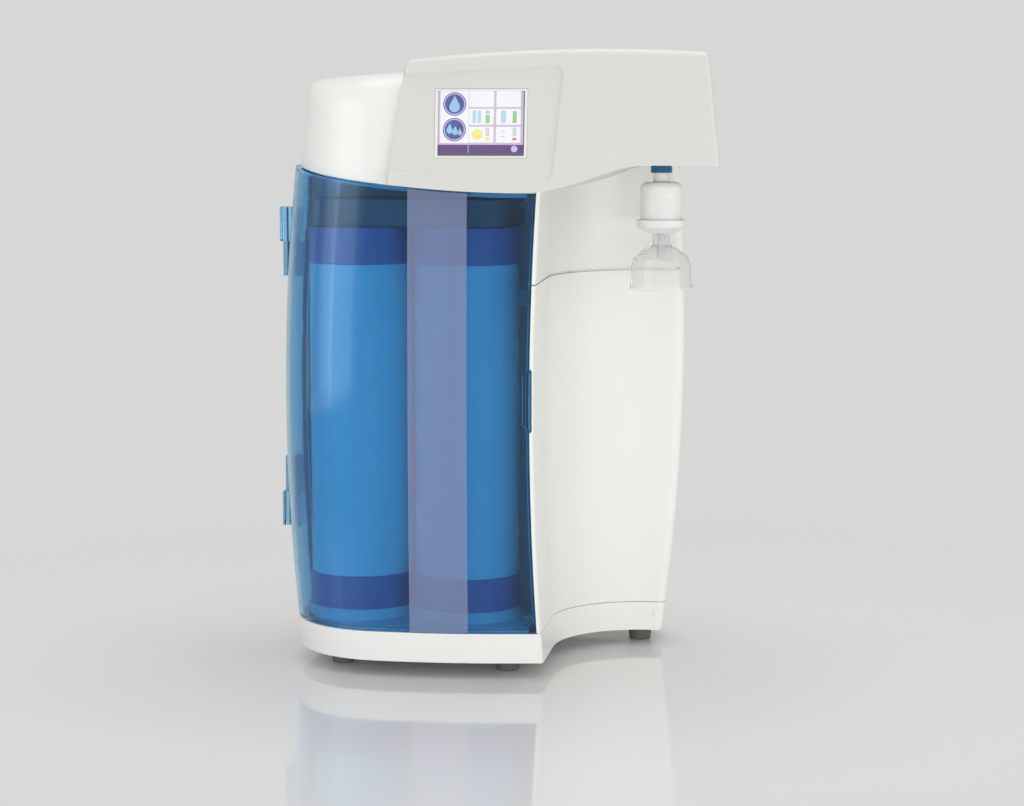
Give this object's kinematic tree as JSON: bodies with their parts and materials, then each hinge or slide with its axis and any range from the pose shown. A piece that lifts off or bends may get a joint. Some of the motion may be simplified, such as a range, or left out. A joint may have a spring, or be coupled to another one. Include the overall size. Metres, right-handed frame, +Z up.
{
  "type": "ultrapure water system",
  "caption": "Benchtop water purifier: barrel housing, hooded head with touch screen over a dispense recess, hinged translucent door, filter cartridges, capsule filter with bell.",
  "frame": {"origin": "on the surface that the feet stand on, under the middle of the whole system", "axes": "+Z up, +Y to the rear, +X to the right of someone facing the front"},
  "size_m": [0.4224, 0.288, 0.5621],
  "materials": {
    "white_cover": "moulded, semi-gloss",
    "foot_rubber": "moulded",
    "screw_steel": "plain",
    "pin_steel": "ground",
    "display_frame": "fine texture",
    "display_glass": "polished",
    "display_screen": "lit screen",
    "circuit_board": "solder mask",
    "door_blue": "moulded, translucent",
    "door_frost": "frosted film",
    "magnet_black": "plastic case",
    "hinge_blue": "moulded, translucent",
    "bay_white": "moulded",
    "manifold_plastic": "moulded",
    "cartridge_tube": "extruded",
    "cartridge_cap": "moulded",
    "fitting_white": "moulded",
    "collet_blue": "moulded",
    "capsule_clear": "moulded, translucent",
    "bell_clear": "moulded, clear",
    "sheet_metal": "plain sheet",
    "motor_black": "satin",
    "pump_plastic": "moulded",
    "stainless": "brushed",
    "lamp_quartz": "polished",
    "filter_clear": "moulded",
    "valve_black": "moulded",
    "tube_white": "extruded",
    "port_black": "moulded",
    "inlet_black": "moulded",
    "rocker_black": "moulded"
  },
  "bodies": {
    "housing": {"base_tray": "white_cover", "rubber_feet": "foot_rubber", "foot_screws": "screw_steel", "left_side_cover": "white_cover", "right_side_cover_lower": "white_cover", "right_side_cover_upper": "white_cover", "rear_panel": "white_cover", "cover_screws": "screw_steel", "top_cover": "white_cover", "head_cover": "white_cover", "head_underside_plate": "white_cover", "display_bezel": "display_frame", "touch_glass": "display_glass", "display_module": "display_screen", "control_board": "circuit_board", "door_magnet": "magnet_black", "hinge_brackets": "hinge_blue", "hinge_pins": "pin_steel", "bay_rear_wall": "bay_white", "bay_ceiling": "bay_white", "cartridge_cradle": "bay_white", "cartridge_manifold": "manifold_plastic", "dispense_fitting": "fitting_white", "power_supply": "sheet_metal", "pump_bracket": "sheet_metal", "pump_motor": "motor_black", "pump_head": "pump_plastic", "uv_chamber": "stainless", "uv_lamp": "lamp_quartz", "ultrafilter_module": "filter_clear", "inlet_valve": "valve_black", "outlet_valve": "valve_black", "inlet_spring": "pin_steel", "outlet_spring": "pin_steel", "conductivity_cell": "fitting_white", "feed_tube": "tube_white", "pump_inlet_tube": "tube_white", "manifold_inlet_tube": "tube_white", "polishing_tubes": "tube_white", "feed_port": "port_black", "drain_port": "port_black", "power_inlet_socket": "inlet_black"},
    "door": {"door_panel": "door_blue", "door_stripe": "door_frost"},
    "cartridge_left": {"cartridge_left_body": "cartridge_tube", "cartridge_left_top_cap": "cartridge_cap", "cartridge_left_bottom_cap": "cartridge_cap"},
    "cartridge_right": {"cartridge_right_body": "cartridge_tube", "cartridge_right_top_cap": "cartridge_cap", "cartridge_right_bottom_cap": "cartridge_cap"},
    "capsule": {"capsule_body": "capsule_clear", "capsule_bell": "bell_clear"},
    "dispense_collet": {"dispense_collet": "collet_blue"},
    "feed_collet": {"feed_collet": "collet_blue"},
    "drain_collet": {"drain_collet": "collet_blue"},
    "power_switch": {"power_switch_rocker": "rocker_black"},
    "fuse_drawer": {"fuse_drawer": "inlet_black"},
    "pump_rotor": {"pump_rotor": "pump_plastic"},
    "inlet_plunger": {"inlet_plunger": "pin_steel"},
    "outlet_plunger": {"outlet_plunger": "pin_steel"}
  },
  "joints": [
    {"name": "door_hinge", "type": "hinge", "parent": "housing", "child": "door", "pos_m": [-0.2068, -0.012, 0.269], "axis": [0, 0, -1], "range_deg": [0, 110]},
    {"name": "cartridge_left_twist", "type": "hinge", "parent": "housing", "child": "cartridge_left", "pos_m": [-0.1275, -0.047, 0.2], "axis": [0, 0, 1], "range_deg": [0, 45]},
    {"name": "cartridge_right_twist", "type": "hinge", "parent": "housing", "child": "cartridge_right", "pos_m": [-0.0286, -0.047, 0.2], "axis": [0, 0, 1], "range_deg": [0, 45]},
    {"name": "capsule_pull", "type": "slide", "parent": "housing", "child": "capsule", "axis": [0, 0, -1], "range_m": [0, 0.03]},
    {"name": "dispense_collet_press", "type": "slide", "parent": "housing", "child": "dispense_collet", "axis": [0, 0, 1], "range_m": [0, 0.0015], "stiffness_N_per_m": 300},
    {"name": "feed_collet_press", "type": "slide", "parent": "housing", "child": "feed_collet", "axis": [0, -1, 0], "range_m": [0, 0.0015], "stiffness_N_per_m": 300},
    {"name": "drain_collet_press", "type": "slide", "parent": "housing", "child": "drain_collet", "axis": [0, -1, 0], "range_m": [0, 0.0015], "stiffness_N_per_m": 300},
    {"name": "power_switch_rock", "type": "hinge", "parent": "housing", "child": "power_switch", "pos_m": [-0.11, 0.129, 0.2191], "axis": [1, 0, 0], "range_deg": [0, 12]},
    {"name": "fuse_drawer_slide", "type": "slide", "parent": "housing", "child": "fuse_drawer", "axis": [0, 1, 0], "range_m": [0, 0.012]},
    {"name": "pump_rotor_spin", "type": "hinge", "parent": "housing", "child": "pump_rotor", "pos_m": [-0.084, 0.08, 0.1], "axis": [0, 0, 1], "continuous": true},
    {"name": "inlet_plunger_lift", "type": "slide", "parent": "housing", "child": "inlet_plunger", "axis": [0, 0, 1], "range_m": [0, 0.0025], "stiffness_N_per_m": 150, "springref_m": -0.002, "deforming": ["inlet_spring"]},
    {"name": "outlet_plunger_lift", "type": "slide", "parent": "housing", "child": "outlet_plunger", "axis": [0, 0, 1], "range_m": [0, 0.0025], "stiffness_N_per_m": 150, "springref_m": -0.002, "deforming": ["outlet_spring"]}
  ]
}
